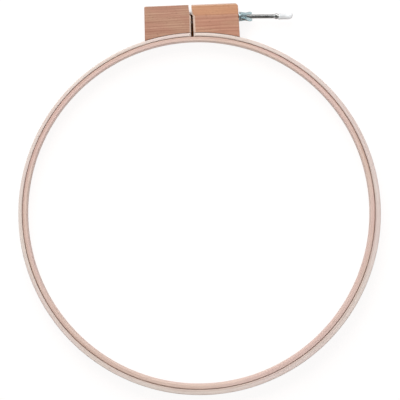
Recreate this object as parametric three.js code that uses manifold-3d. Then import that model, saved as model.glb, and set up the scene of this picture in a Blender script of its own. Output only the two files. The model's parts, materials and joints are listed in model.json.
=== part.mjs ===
// Embroidery hoop with a bolt clamp, in millimetres, +Z up.
//
// Two thin rings of bent wood nest in each other. The outer one is split at one place, where two
// wooden blocks are glued and bradded to its ends. A long carriage bolt goes through both blocks,
// and a wing nut on it draws them together, which tightens the outer ring on the cloth and the
// inner ring.
//
// The hoop lies flat on z = 0. The slit and the blocks are on its +Y side, and the bolt runs along
// X, its head in the left block and its wing nut at the right. The origin is under the centre of
// the whole outline. The outer ring is one strip: it is held here as two halves that meet opposite
// the slit, where the strip bends when it opens.

import * as THREE from 'three';
import { mergeVertices } from 'three/addons/utils/BufferGeometryUtils.js';
import Module from 'manifold-3d';

const wasm = await Module();
wasm.setup();

// Rings
const hoopDiameter = 355.6; // outside of the inner ring: 14 in
const ringDepth = 22.2; // 7/8 in, rings and blocks alike
const innerRingThickness = 4.5;
const outerRingThickness = 4.7; // mean of the strip
const stripShiftX = 0.75; // the strip is thicker at the lower right: its outside is shifted there
const stripShiftY = -0.9;
const ringEdgeRadius = 1.2;
const ringClearance = 0.3; // between the rings all round
const halvesClearance = 0.2; // between the outer ring's halves, opposite the slit
const ringSteps = 96; // facets round a whole ring
const edgeSteps = 2; // facets round an eased edge
const cornerSteps = 6; // facets round a corner in an outline

// Slit through the outer ring and between the blocks
const slitAtRing = 3.0;
const slitAtBolt = 1.8; // the blocks are drawn together here
const slitNotch = 1.8; // the left block's upper inner corner is cut back by this at the top
const slitEase = { left: 1.4, right: 2.0 }; // sloping edges along the front of the slit
const slitEaseFade = { left: 1.5, right: 6 }; // how far above the bolt they run out

// Blocks
const blockHalfWidth = 47.5; // from the slit's middle to the outer face, halfway up
const blockRise = 28.1; // above the outside of the ring
const blockFaceLean = 1.2; // degrees that each outer face leans in at the top
const blockEdgeRound = 0.8;
const leftBlockCorner = 1.1; // radius of the upper outer corner
const rightBlockCorner = 2.6;
const glueLine = 0.3; // between a block and the ring

// Carriage bolt, No. 10, 5 1/2 in
const boltDiameter = 4.76;
const boltLength = 139.7; // under the head
const boltRise = 16.7; // of its axis above the outside of the ring, at the slit
const boltLean = 2.0; // degrees that it leans down to the right
const headDiameter = 11.4;
const headHeight = 2.7;
const headSink = 0.6; // its crown below the left block's face
const headPocketClearance = 1.1;
const neckWidth = 5.0; // square neck
const neckLength = 3.1;
const neckPower = 8; // of the rounded square: 2 is a circle
const stakeToTip = 11.3; // from where the thread is flattened, so that the nut can't run off
const stakeWidth = 5.7;
const stakeThickness = 3.9;
const stakeLength = 3.4;
const stakePower = 2.6;
const tipChamfer = 0.8;
const boltSides = 24;
const domeSteps = 6; // facets from a dome's pole to its rim
const poleShare = 0.4; // of a step, at which the first facet's ring stands off the pole

// Washer and wing nut
const washerDiameter = 10;
const washerThickness = 1;
const nutHeight = 12.4; // to the top of the wings
const hubDiameter = 9.6; // at its base
const hubTopDiameter = 7.8;
const hubHeight = 6.2;
const hubEdgeRound = 0.6;
const hubSides = 32;
const wingSpan = 21.4;
const wingThickness = 2.2;
const wingEdgeRound = 0.45;
const wingFoot = 1.0; // above the hub's base
const wingEndRadius = 2.1; // each wing ends in an arc
const wingArcStart = 110; // degrees round that arc from the nut's axis, where the outer edge meets it
const wingArcEnd = -40; // where the inner edge leaves it
const wingOuterSweep = 5.2; // from the arc to where each edge starts to bend
const wingInnerSweep = 4.5;
const wingTurn = 24; // degrees that the wings stand turned from the hoop's axis
const threadClearance = 0.3; // radial, washer and nut on the bolt
const seatClearance = 0.3; // between faces that meet

// End cap, soft plastic, pushed on the bolt's tip
const capDiameter = 6.3;
const capLipDiameter = 6.9;
const capLipLength = 1.6;
const capLipEdge = 0.3;
const capLength = 14.7;
const capGrip = 7.5; // length of bolt inside it
const capBend = 1.3; // its soft tip is bent up by this much
const capBendStart = 1.5; // past the bolt's tip
const capTaper = 0.2; // narrower by this at the start of its dome
const capFit = 0.15; // radial

// Brads through the outer ring into the blocks
const bradPlaces = [15, 35]; // from the slit's middle, along the ring
const bradLength = 12.7;
const bradDiameter = 1.6;
const bradHeadDiameter = 3.2;
const bradHeadHeight = 0.6;
const bradSink = 0.3; // its head below the inside of the ring
const bradFit = 0.2; // radial
const bradSides = 12;

// What follows from them, in a frame centred on the outer ring's outside
const radians = THREE.MathUtils.degToRad;
const seamRadius = hoopDiameter / 2;
const stripInnerRadius = seamRadius + ringClearance;
const stripOuterRadius = stripInnerRadius + outerRingThickness;
const innerRingCentre = new THREE.Vector2(-stripShiftX, -stripShiftY);
const blockTop = stripOuterRadius + blockRise;
const blockMiddle = stripOuterRadius + blockRise / 2;
const boltAtSlit = stripOuterRadius + boltRise;
const boltRadius = boltDiameter / 2;
const cutMargin = 5; // how far a cutting solid reaches past what it cuts
const weldDistance = 1e-5; // corners closer than this are one
const quarterArc = 1 - Math.SQRT1_2; // of an edge's radius: its middle corner is this far from a face

// Distance along the bolt, from the slit's middle, to a block's outer face
function faceStation(side) {
  const lean = side * Math.sin(radians(boltLean));
  const slope = Math.tan(radians(blockFaceLean));
  const reach = blockHalfWidth + (blockMiddle - boltAtSlit) * slope;
  return (side * reach) / (Math.cos(radians(boltLean)) - lean * slope);
}

const headSeat = faceStation(-1) + headSink + headHeight;
const washerRock = (washerDiameter / 2) * Math.tan(radians(boltLean + blockFaceLean));
const washerStart = faceStation(1) + washerRock + seatClearance;
const nutStart = washerStart + washerThickness + seatClearance;
const boltTip = headSeat + boltLength;
const capStart = boltTip - capGrip;
const stakeStart = boltTip - stakeToTip;
const nutTravel = stakeStart - seatClearance - nutHeight - nutStart;

// The strip bends about its outside, opposite the slit, and the nut's travel sets how far.
const hingeToBolt = (boltAtSlit + stripOuterRadius) * Math.cos(radians(boltLean));
const hingeFoot = (boltAtSlit + stripOuterRadius) * Math.sin(radians(boltLean));
const openAngle = nutTravel / hingeToBolt;

// Solids

// A closed solid through rings of points that all have the same number of points
function loft(rings) {
  const count = rings[0].length;
  const corners = rings.flat();
  const faces = [];
  for (let i = 0; i + 1 < rings.length; i++) {
    for (let k = 0; k < count; k++) {
      const a = i * count + k;
      const b = i * count + ((k + 1) % count);
      faces.push(a, b, b + count, a, b + count, a + count);
    }
  }
  for (const last of [false, true]) {
    const start = last ? (rings.length - 1) * count : 0;
    const outline = rings[last ? rings.length - 1 : 0];
    const middle = new THREE.Vector3();
    outline.forEach((p) => middle.addScaledVector(p, 1 / count));
    corners.push(middle);
    for (let k = 0; k < count; k++) {
      const a = start + k;
      const b = start + ((k + 1) % count);
      faces.push(corners.length - 1, last ? a : b, last ? b : a);
    }
  }
  const volume = faces.reduce((sum, _, i) => {
    if (i % 3) return sum;
    const [a, b, c] = [0, 1, 2].map((k) => corners[faces[i + k]]);
    return sum + a.dot(b.clone().cross(c)) / 6;
  }, 0);
  if (volume < 0) faces.reverse();
  const geometry = new THREE.BufferGeometry().setFromPoints(corners);
  geometry.setIndex(faces);
  return geometry;
}

// A solid of revolution about X from [x, radius] points
function turned(profile, sides) {
  const points = profile.map(([x, radius]) => new THREE.Vector2(radius, x));
  return new THREE.LatheGeometry(points, sides).rotateZ(-Math.PI / 2);
}

function rod(start, end, radius) {
  return turned([[start, 0], [start, radius], [end, radius], [end, 0]], boltSides);
}

function solidOf(geometry) {
  const bare = geometry.clone();
  bare.deleteAttribute('normal');
  bare.deleteAttribute('uv');
  const merged = mergeVertices(bare, weldDistance);
  const index = merged.index.array;
  const whole = [];
  for (let i = 0; i < index.length; i += 3) {
    const [a, b, c] = [index[i], index[i + 1], index[i + 2]];
    if (a !== b && b !== c && c !== a) whole.push(a, b, c);
  }
  return new wasm.Manifold(new wasm.Mesh({
    numProp: 3,
    vertProperties: new Float32Array(merged.attributes.position.array),
    triVerts: new Uint32Array(whole),
  }));
}

function geometryOf(solid) {
  const { numProp, vertProperties, triVerts } = solid.getMesh();
  const positions = [];
  for (let i = 0; i < vertProperties.length; i += numProp) {
    positions.push(...vertProperties.subarray(i, i + 3));
  }
  const geometry = new THREE.BufferGeometry();
  geometry.setAttribute('position', new THREE.Float32BufferAttribute(positions, 3));
  geometry.setIndex(Array.from(triVerts));
  return geometry;
}

function cut(geometry, ...tools) {
  return geometryOf(tools.reduce((solid, tool) => solid.subtract(solidOf(tool)), solidOf(geometry)));
}

function joined(...geometries) {
  return geometryOf(geometries.map(solidOf).reduce((whole, solid) => whole.add(solid)));
}

// Moves a solid made along X from the slit's middle onto the leaning bolt
function ontoBolt(geometry) {
  return geometry.rotateZ(-radians(boltLean)).translate(0, boltAtSlit, ringDepth / 2);
}

// Rings

// Corners of a ring's section between two radii, with its edges rounded: [radius, z]
function ringSection(inside, outside) {
  const r = ringEdgeRadius;
  const corners = [
    [outside - r, ringDepth - r, 0],
    [inside + r, ringDepth - r, 90],
    [inside + r, r, 180],
    [outside - r, r, 270],
  ];
  return corners.flatMap(([x, z, start]) =>
    Array.from({ length: edgeSteps + 1 }, (_, i) => {
      const angle = radians(start + (90 * i) / edgeSteps);
      return [x + r * Math.cos(angle), z + r * Math.sin(angle)];
    }));
}

function innerRing() {
  const section = ringSection(seamRadius - innerRingThickness, seamRadius);
  const profile = [...section, section[0]].map(([radius, z]) => new THREE.Vector2(radius, z));
  const geometry = new THREE.LatheGeometry(profile, ringSteps).rotateX(Math.PI / 2);
  return geometry.translate(innerRingCentre.x, innerRingCentre.y, 0);
}

// Radius of the strip's inside, from the centre of its outside, in a direction
function stripInside(direction) {
  const along = innerRingCentre.dot(direction);
  return along + Math.sqrt(stripInnerRadius ** 2 - innerRingCentre.lengthSq() + along ** 2);
}

// One half of the outer ring: side -1 is the left one
function outerRingHalf(side) {
  const rings = [];
  for (let i = 0; i <= ringSteps / 2; i++) {
    const angle = -Math.PI / 2 + (side * 2 * Math.PI * i) / ringSteps;
    const direction = new THREE.Vector2(Math.cos(angle), Math.sin(angle));
    rings.push(ringSection(stripInside(direction), stripOuterRadius)
      .map(([radius, z]) => new THREE.Vector3(direction.x * radius, direction.y * radius, z)));
  }
  const meeting = new THREE.BoxGeometry(halvesClearance, 4 * outerRingThickness, ringDepth + cutMargin)
    .translate(0, -stripOuterRadius, ringDepth / 2);
  return cut(loft(rings), meeting, slit(), ...bradPlaces.map((place) => brad(side * place, bradFit)));
}

// X of the slit's wall on one side at a height: it leans in as far as the bolt
function slitWall(side, y) {
  const lean = (slitAtRing - slitAtBolt) / 2 / boltRise;
  const half = slitAtRing / 2 - lean * (Math.min(y, boltAtSlit) - stripOuterRadius);
  const share = Math.max(0, y - boltAtSlit) / (blockTop - boltAtSlit);
  return side * half - (side < 0 ? slitNotch * share : 0);
}

function slit() {
  const heights = [stripInnerRadius - 2 * cutMargin, boltAtSlit, blockTop + cutMargin / 2];
  const wall = (side) => heights.map((y) => new THREE.Vector2(slitWall(side, y), y));
  const outline = new THREE.Shape([...wall(1), ...wall(-1).reverse()]);
  return new THREE.ExtrudeGeometry(outline, { depth: ringDepth + 2 * cutMargin, bevelEnabled: false })
    .translate(0, 0, -cutMargin);
}

// The sloping edge along the front of the slit on one side
function slitEdge(side) {
  const name = side < 0 ? 'left' : 'right';
  const across = (y, ease) => {
    const wall = slitWall(side, y);
    const high = wall + side * (ease + cutMargin);
    const outline = [[0, -ease], [wall, -ease], [high, cutMargin], [0, cutMargin]];
    return outline.map(([x, z]) => new THREE.Vector3(x, y, ringDepth + z));
  };
  return loft([
    across(stripInnerRadius, slitEase[name]),
    across(boltAtSlit, slitEase[name]),
    across(boltAtSlit + slitEaseFade[name], 0),
  ]);
}

// Blocks

function block(side) {
  const slope = Math.tan(radians(blockFaceLean));
  const faceAt = (y) => side * (blockHalfWidth + (blockMiddle - y) * slope);
  const corner = side < 0 ? leftBlockCorner : rightBlockCorner;
  const foot = stripOuterRadius - blockRise;
  const round = blockEdgeRound;
  const outline = new THREE.Shape();
  outline.moveTo(0, foot);
  outline.lineTo(0, blockTop - round);
  outline.lineTo(faceAt(blockTop) - side * (corner + round), blockTop - round);
  outline.quadraticCurveTo(
    faceAt(blockTop) - side * round, blockTop - round,
    faceAt(blockTop - corner) - side * round, blockTop - corner - round);
  outline.lineTo(faceAt(foot) - side * round, foot);
  const body = new THREE.ExtrudeGeometry(outline, {
    depth: ringDepth - 2 * round,
    bevelThickness: round,
    bevelSize: round,
    bevelSegments: edgeSteps,
    curveSegments: cornerSteps,
  }).translate(0, 0, round);
  const seat = new THREE.CylinderGeometry(
    stripOuterRadius + glueLine, stripOuterRadius + glueLine, ringDepth + 2 * cutMargin, ringSteps)
    .rotateX(Math.PI / 2).translate(0, 0, ringDepth / 2);
  const halfSpace = new THREE.BoxGeometry(blockHalfWidth, 4 * blockRise, ringDepth + 2 * cutMargin)
    .translate((-side * blockHalfWidth) / 2, blockMiddle, ringDepth / 2);
  const holes = side < 0 ? leftBlockHole() : rightBlockHole();
  const brads = bradPlaces.map((place) => brad(side * place, bradFit));
  return cut(body, seat, halfSpace, slit(), slitEdge(side), ...holes, ...brads);
}

// The head's pocket, the square neck's socket and the bolt's hole
function leftBlockHole() {
  const pocket = rod(headSeat - headHeight - cutMargin, headSeat + seatClearance,
    headDiameter / 2 + headPocketClearance);
  const half = neckWidth / 2 + bradFit;
  const socketEnd = headSeat + neckLength + seatClearance;
  const socket = new THREE.BoxGeometry(neckLength + cutMargin, 2 * half, 2 * half)
    .translate(socketEnd - (neckLength + cutMargin) / 2, 0, 0);
  const hole = rod(headSeat, cutMargin, boltRadius + threadClearance);
  return [pocket, socket, hole].map(ontoBolt);
}

// This block swings with its half of the ring. Its hole lines up with the bolt when the hoop is half
// open, and is wide enough for the rest of the swing either way.
function rightBlockHole() {
  const half = openAngle / 2;
  const reach = faceStation(1) - hingeFoot + hingeToBolt * Math.sin(half);
  const swing = reach * Math.sin(half) + hingeToBolt * (1 - Math.cos(half));
  const radius = boltRadius + swing + threadClearance;
  const hole = ontoBolt(rod(-cutMargin, faceStation(1) + nutTravel, radius));
  return [hole.translate(0, stripOuterRadius, 0).rotateZ(half).translate(0, -stripOuterRadius, 0)];
}

// Hardware

// A section across the bolt: a circle, an ellipse or, with a high power, a rounded square
function acrossBolt(x, halfY, halfZ, power = 2) {
  return Array.from({ length: boltSides }, (_, i) => {
    const angle = (2 * Math.PI * i) / boltSides;
    const [c, s] = [Math.cos(angle), Math.sin(angle)];
    const size = (Math.abs(c) ** power + Math.abs(s) ** power) ** (-1 / power);
    return new THREE.Vector3(x, halfY * c * size, halfZ * s * size);
  });
}

// Angles from a dome's rim, 0, to near its pole, in order
function domeAngles() {
  return Array.from({ length: domeSteps }, (_, i) => (Math.PI / 2) * (i / (domeSteps - 1 + poleShare)));
}

function carriageBolt() {
  const shank = (x, radius = boltRadius) => acrossBolt(x, radius, radius);
  const neck = (x) => acrossBolt(x, neckWidth / 2, neckWidth / 2, neckPower);
  const stake = (share) => acrossBolt(stakeStart + stakeLength * share,
    stakeWidth / 2, stakeThickness / 2, stakePower);
  const crown = domeAngles().reverse().map((angle) =>
    shank(headSeat - headHeight * Math.sin(angle), (headDiameter / 2) * Math.cos(angle)));
  return ontoBolt(loft([
    ...crown,
    neck(headSeat),
    neck(headSeat + neckLength - (neckWidth - boltDiameter)),
    shank(headSeat + neckLength),
    shank(stakeStart),
    ...[1 / 4, 1 / 2, 3 / 4].map(stake),
    shank(stakeStart + stakeLength),
    shank(boltTip - tipChamfer),
    shank(boltTip, boltRadius - tipChamfer),
  ]));
}

function washer() {
  const bore = boltRadius + threadClearance;
  const outside = washerDiameter / 2;
  const end = washerStart + washerThickness;
  return ontoBolt(turned([
    [washerStart, bore], [washerStart, outside], [end, outside], [end, bore], [washerStart, bore],
  ], hubSides));
}

// Outline of one wing from the nut's axis outwards: x is the height above the hub's base
function wingOutline() {
  const arcX = nutHeight - wingEdgeRound - wingEndRadius;
  const arcY = wingSpan / 2 - wingEdgeRound - wingEndRadius;
  const [from, to] = [radians(wingArcStart), radians(wingArcEnd)];
  const on = (angle) => [arcX + wingEndRadius * Math.cos(angle), arcY + wingEndRadius * Math.sin(angle)];
  const [startX, startY] = on(from);
  const [endX, endY] = on(to);
  const wing = new THREE.Shape();
  wing.moveTo(wingFoot, 0);
  wing.lineTo(wingFoot, hubDiameter / 2 - hubEdgeRound);
  wing.quadraticCurveTo(
    startX - wingOuterSweep * Math.sin(from), startY + wingOuterSweep * Math.cos(from), startX, startY);
  wing.absarc(arcX, arcY, wingEndRadius, from, to, true);
  wing.quadraticCurveTo(
    endX + wingInnerSweep * Math.sin(to), endY - wingInnerSweep * Math.cos(to),
    hubHeight - hubEdgeRound, hubTopDiameter / 2 - 2 * hubEdgeRound);
  wing.lineTo(hubHeight - hubEdgeRound, 0);
  return wing;
}

// A cone-shaped hub with two upright wings, on the bolt
function wingNut() {
  const base = hubDiameter / 2;
  const top = hubTopDiameter / 2;
  const round = hubEdgeRound;
  const inset = hubEdgeRound * quarterArc;
  const hub = turned([
    [0, 0], [0, base - round], [inset, base - inset], [round, base],
    [hubHeight - round, top + inset], [hubHeight - inset, top - inset],
    [hubHeight, top - round], [hubHeight, 0],
  ], hubSides);
  const flat = wingThickness - 2 * wingEdgeRound;
  const blade = new THREE.ExtrudeGeometry(wingOutline(), {
    depth: flat,
    bevelThickness: wingEdgeRound,
    bevelSize: wingEdgeRound,
    bevelSegments: edgeSteps,
    curveSegments: cornerSteps,
  }).translate(0, 0, -flat / 2);
  const whole = joined(hub, blade, blade.clone().rotateX(Math.PI));
  const nut = cut(whole, rod(-cutMargin, nutHeight + cutMargin, boltRadius + threadClearance));
  return ontoBolt(nut.rotateX(Math.PI / 2 + radians(wingTurn)).translate(nutStart, 0, 0));
}

function endCap() {
  const body = capDiameter / 2;
  const lip = capLipDiameter / 2;
  const bendFrom = capGrip + capBendStart;
  const domeFrom = capLength - body;
  const section = (x, radius) => {
    const share = Math.max(0, (x - bendFrom) / (capLength - bendFrom));
    return acrossBolt(capStart + x, radius, radius).map((p) => p.setY(p.y + capBend * share ** 2));
  };
  const outside = loft([
    section(0, lip - capLipEdge),
    section(capLipEdge, lip),
    section(capLipLength, lip),
    section(capLipLength + capLipEdge, body),
    section(bendFrom, body),
    ...domeAngles().map((angle) =>
      section(domeFrom + body * Math.sin(angle), (body - capTaper) * Math.cos(angle))),
  ]);
  return ontoBolt(cut(outside, rod(capStart - cutMargin, boltTip + seatClearance, boltRadius + capFit)));
}

// A brad that stands across the strip at a place along the ring. With a clearance it is the hole
// that it sits in.
function brad(place, clearance = 0) {
  const angle = Math.PI / 2 - place / stripOuterRadius;
  const direction = new THREE.Vector2(Math.cos(angle), Math.sin(angle));
  const start = stripInside(direction) + bradSink;
  const shank = bradDiameter / 2 + clearance;
  const head = bradHeadDiameter / 2 + clearance;
  const mouth = clearance ? -cutMargin : 0;
  const body = turned([
    [mouth, 0], [mouth, head], [bradHeadHeight + clearance, head], [bradHeadHeight + clearance, shank],
    [bradLength - bradDiameter, shank], [bradLength + clearance, 0],
  ], bradSides);
  return body.translate(start, 0, ringDepth / 2).rotateZ(angle);
}

// Materials
const paleWood = new THREE.MeshStandardMaterial({ color: 0xe9d3bd, roughness: 0.55, metalness: 0 });
const blockWood = new THREE.MeshStandardMaterial({ color: 0xc39277, roughness: 0.6, metalness: 0 });
const zinc = new THREE.MeshStandardMaterial({ color: 0xb9c2c4, roughness: 0.3, metalness: 1 });
const steel = new THREE.MeshStandardMaterial({ color: 0x8b8b8b, roughness: 0.4, metalness: 1 });
const whitePlastic = new THREE.MeshStandardMaterial({ color: 0xf1efea, roughness: 0.45, metalness: 0 });

function piece(name, geometry, material) {
  const mesh = new THREE.Mesh(geometry, material);
  mesh.name = name;
  return mesh;
}

const outerRing = new THREE.Group();
const clamp = new THREE.Group();
for (const [side, name] of [[-1, 'left'], [1, 'right']]) {
  outerRing.add(piece(`outer_ring_${name}`, outerRingHalf(side), paleWood));
  clamp.add(piece(`block_${name}`, block(side), blockWood));
  bradPlaces.forEach((place, i) => {
    clamp.add(piece(`brad_${name}_${i + 1}`, geometryOf(solidOf(brad(side * place))), steel));
  });
}
clamp.add(piece('carriage_bolt', carriageBolt(), steel));
clamp.add(piece('washer', washer(), zinc));
clamp.add(piece('wing_nut', wingNut(), zinc));
clamp.add(piece('end_cap', endCap(), whitePlastic));

// The origin is under the middle of the outline, which reaches from the ring to the block's top.
const hoop = new THREE.Group();
hoop.add(piece('inner_ring', innerRing(), paleWood), outerRing, clamp);
hoop.position.y = -(blockTop - stripOuterRadius) / 2;

const part = new THREE.Group();
part.add(hoop);
export default part;
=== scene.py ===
import json
import math

import bmesh
import bpy
import numpy as np
from mathutils import Matrix, Vector, noise

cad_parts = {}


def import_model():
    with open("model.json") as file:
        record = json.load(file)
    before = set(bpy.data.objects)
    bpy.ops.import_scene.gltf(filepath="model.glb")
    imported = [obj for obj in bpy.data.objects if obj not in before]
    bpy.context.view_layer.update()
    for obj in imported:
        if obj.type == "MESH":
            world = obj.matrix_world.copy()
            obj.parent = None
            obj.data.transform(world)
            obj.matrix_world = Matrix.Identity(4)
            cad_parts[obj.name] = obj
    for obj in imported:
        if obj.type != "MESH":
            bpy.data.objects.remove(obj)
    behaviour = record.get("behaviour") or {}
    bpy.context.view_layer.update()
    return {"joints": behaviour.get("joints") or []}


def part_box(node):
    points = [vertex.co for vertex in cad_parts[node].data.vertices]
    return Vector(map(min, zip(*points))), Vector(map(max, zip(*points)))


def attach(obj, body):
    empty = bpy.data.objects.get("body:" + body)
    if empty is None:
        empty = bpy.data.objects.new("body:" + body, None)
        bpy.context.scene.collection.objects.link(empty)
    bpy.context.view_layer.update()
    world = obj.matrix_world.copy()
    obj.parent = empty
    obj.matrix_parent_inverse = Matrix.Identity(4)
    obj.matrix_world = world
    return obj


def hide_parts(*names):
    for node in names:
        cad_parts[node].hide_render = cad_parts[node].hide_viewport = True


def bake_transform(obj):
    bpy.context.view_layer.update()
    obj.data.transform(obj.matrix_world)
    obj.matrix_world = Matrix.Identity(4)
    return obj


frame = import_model()

MM = 0.001


def box_in_mm(node):
    low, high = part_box(node)
    return low / MM, high / MM


# What the frame says
inner_low, inner_high = box_in_mm("inner_ring")
strip_low = box_in_mm("outer_ring_left")[0]
joints = {joint["name"]: joint for joint in frame["joints"]}
RING_DEPTH = inner_high.z
SEAM_RADIUS = (inner_high.x - inner_low.x) / 2
STRIP_RADIUS = -strip_low.x
CENTRE_Y = strip_low.y + STRIP_RADIUS
inner_middle = np.array([inner_low.x + inner_high.x, inner_low.y + inner_high.y]) / 2
INNER_CENTRE = inner_middle - [0, CENTRE_Y]
BLOCK_TOP = box_in_mm("block_right")[1].y - CENTRE_Y
BOLT_POINT = Vector(joints["nut_spin"]["pos_m"]) / MM
BOLT_AXIS = Vector(joints["nut_spin"]["axis"])
HINGE_POINT = Vector(joints["ring_open"]["pos_m"]) / MM
OPEN_ANGLE = math.radians(joints["ring_open"]["range_deg"][1])
BOLT_TURN = Matrix.Rotation(math.atan2(BOLT_AXIS.y, BOLT_AXIS.x), 4, "Z")
ON_BOLT = Matrix.Translation(BOLT_POINT) @ BOLT_TURN
ON_HOOP = Matrix.Translation((0, CENTRE_Y, 0))

# The clamp's two sides, left and right of the slit
SIDES = {-1: "left", 1: "right"}
BODIES = {-1: "fixed_side", 1: "opening_side"}

# Rings, as in the CAD source
RING_CLEARANCE = 0.3
INNER_THICKNESS = 4.5
RING_EDGE = 1.2
STRIP_INNER = SEAM_RADIUS + RING_CLEARANCE
RING_STEPS = 480
EDGE_SEGMENTS = 5
EDGE_LEAST = 0.8  # of RING_EDGE: how tight the rounding gets
EDGE_WAVER = 2.5  # how much the rounding follows the waver
STRIP_WAVER = 0.07  # how far the strips' faces wander, always inwards
LONG_WAVE = 22
SHORT_WAVE = 7
LAP_END = 96  # degrees: where the inner ring's lap joint ends at its outside
LAP_ANGLE = 19  # degrees that the lap takes
LAP_GAP = 0.05
SEAM_SHADE_SHIFT = [0.6, -0.7]  # of the band of painted shade along the seam, from the seam
FLEX_ANGLE = 42  # degrees of the outer ring, opposite the slit, that bend when it opens
INNER_GRAIN = 40  # takes the inner ring's grain away from the outer ring's

# Blocks, as in the CAD source
BOLT_RISE = BOLT_POINT.y - CENTRE_Y - STRIP_RADIUS
BOLT_AT_SLIT = STRIP_RADIUS + BOLT_RISE
BLOCK_HALF_WIDTH = 47.5
BLOCK_MIDDLE = (STRIP_RADIUS + BLOCK_TOP) / 2
BLOCK_FOOT = 165.0  # below the ring's outside, before the ring is cut out of it
BLOCK_LEAN = math.tan(math.radians(1.2))
BLOCK_EDGE = 0.8
BLOCK_TOP_EDGE = {-1: 0.8, 1: 2.2}  # the right block's top is sanded rounder
BLOCK_CORNER = {-1: 1.2, 1: 3.4}
BLOCK_EDGE_STEPS = 6
GLUE_LINE = 0.3
GLUE_SINK = 0.25  # of the glue below the blocks' faces
GLUE_SHIFT = 0.02  # into the ring, so that no gap shows
GLUE_STOP = 1.2  # from the block's outer face
GLUE_STEPS = 60
GLUE_LUMPS = 60  # per radian of the ring
GLUE_EDGE = 0.1

# Slit, as in the photo: in the CAD source its walls are plainer, up to 0.8 mm from these
SLIT_STEP = 1.7  # above the bolt's axis: there the slit opens into the notch
NOTCH_BEND = 25  # above the ring's outside: there the notch's left wall bends
SLIT_HEIGHTS = [0, BOLT_RISE, BOLT_RISE + SLIT_STEP, NOTCH_BEND, BLOCK_TOP - STRIP_RADIUS]
SLIT_WALLS = {-1: [1.15, 0.75, 1.95, 2.5, 2.65], 1: [1.5, 1.4, 0.35, 0.3, 0.3]}  # from its middle
SLIT_EASE = {-1: 1.4, 1: 2.0}
SLIT_EASE_FADE = {-1: SLIT_STEP, 1: 8}  # above the bolt's axis


def face_station(side):
    """Distance along the bolt, from the slit's middle, to a block's outer face."""
    reach = BLOCK_HALF_WIDTH + (BLOCK_MIDDLE - BOLT_AT_SLIT) * BLOCK_LEAN
    return side * reach / (BOLT_AXIS.x + side * BOLT_AXIS.y * BLOCK_LEAN)


# Bolt, from the slit's middle, as in the CAD source
BOLT_RADIUS = 2.38
BOLT_LENGTH = 139.7
BOLT_SIDES = 36
HEAD_RADIUS = 5.7
HEAD_HEIGHT = 2.7
HEAD_RIM = 0.35
HEAD_RINGS = 10
HEAD_POLE = 0.35  # how near the pole the dome's first ring lies, where 1 is a ring's step
HEAD_FULLNESS = 0.9
HEAD_POCKET = 6.8
HEAD_SINK = 0.6  # of its top below the block's outer face
HEAD_SEAT = face_station(-1) + HEAD_SINK + HEAD_HEIGHT
NECK_HALF = 2.5
NECK_LENGTH = 3.1
NECK_POWER = 8
NECK_FIT = 0.2
BOLT_TIP = HEAD_SEAT + BOLT_LENGTH
TIP_CHAMFER = 0.8
TIP_RADIUS = BOLT_RADIUS - 0.12
STAKE_TO_TIP = 11.3  # from the start of the stretch that is flattened
STAKE_START = BOLT_TIP - STAKE_TO_TIP
STAKE_LENGTH = 3.4
STAKE_HALF_WIDTH = 2.85
STAKE_HALF_THICKNESS = 1.95
STAKE_SQUARENESS = 0.6
STAKE_STEPS = 10
STAKE_DULL = 0.5  # of the thread's bright crests, where the plating cracked
THREAD_PITCH = 25.4 / 24
THREAD_DEPTH = 0.6
THREAD_START = 24.0
THREAD_END = STAKE_START - 0.3
THREAD_RUN_IN = 2  # turns over which it grows to its full depth
THREAD_RUN_OUT = 1.5
THREAD_PROFILE = [(0, 0), (0.15, 0), (0.47, 1), (0.68, 1)]  # (share of a pitch, of the depth)
THREAD_FIT = 0.3

# Washer, wing nut and cap
WASHER_RADIUS = 5.0
WASHER_THICKNESS = 1.0
WASHER_TILT = math.atan(BLOCK_LEAN) - math.atan2(BOLT_AXIS.y, BOLT_AXIS.x)
WASHER_START = face_station(1) + WASHER_RADIUS * math.tan(WASHER_TILT) + THREAD_FIT
WASHER_EDGES = [0.08, 0.1, 0.3, 0.15]
NUT_START = WASHER_START + WASHER_THICKNESS + THREAD_FIT
NUT_HEIGHT = 12.4
NUT_VOXEL = 0.16
NUT_SMOOTHING = 12
NUT_GROWTH = 0.12  # gives back what smoothing takes
NUT_BORE_FIT = 0.1
HUB_RADIUS = 4.8
HUB_TOP_RADIUS = 3.9
HUB_HEIGHT = 6.2
HUB_CORE = 0.4
WING_HALF_SPAN = 10.7
WING_THICKNESS = 2.2
WING_EDGE = 0.45
WING_FOOT = 1.0
WING_SINK = 0.6  # of its roots in the hub
WING_END = 2.1
WING_END_FROM, WING_END_TO = math.radians(110), math.radians(-40)
WING_END_STEPS = 14
WING_OUTER_PULL = 5.2  # of the curves that run from its round end into the hub
WING_INNER_PULL = 4.5
WING_TURN = 29  # a little more than the solid's, whose corners are sharper
CAP_RADIUS = 3.15
CAP_LIP = 3.45
CAP_LENGTH = 14.7
CAP_GRIP = 7.5
CAP_START = BOLT_TIP - CAP_GRIP
CAP_BEND = 1.3
CAP_BEND_START = 9.0
CAP_FIT = 0.15
CAP_SIDES = 48
CAP_LIP_ROLL = 0.3

# Brads
BRAD_PLACES = [15, 35]
BRAD_SINK = 0.3
BRAD_LENGTH = 12.7
BRAD_RADIUS = 0.8
BRAD_HEAD = 1.6
BRAD_HEAD_HEIGHT = 0.6
BRAD_POINT = 2
BRAD_FIT = 0.2

MARGIN = 5  # how far a cutter reaches past what it cuts
DOUBLE = 2e-7  # metres between points that are one
SLIVER = 1e-6  # metres: edges this short go


# Meshes


def clean(mesh):
    """Merges doubles, dissolves slivers and turns the faces outwards."""
    made = bmesh.new()
    made.from_mesh(mesh)
    bmesh.ops.remove_doubles(made, verts=made.verts, dist=DOUBLE)
    bmesh.ops.dissolve_degenerate(made, edges=made.edges, dist=SLIVER)
    bmesh.ops.recalc_face_normals(made, faces=made.faces)
    made.to_mesh(mesh)
    made.free()


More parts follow.
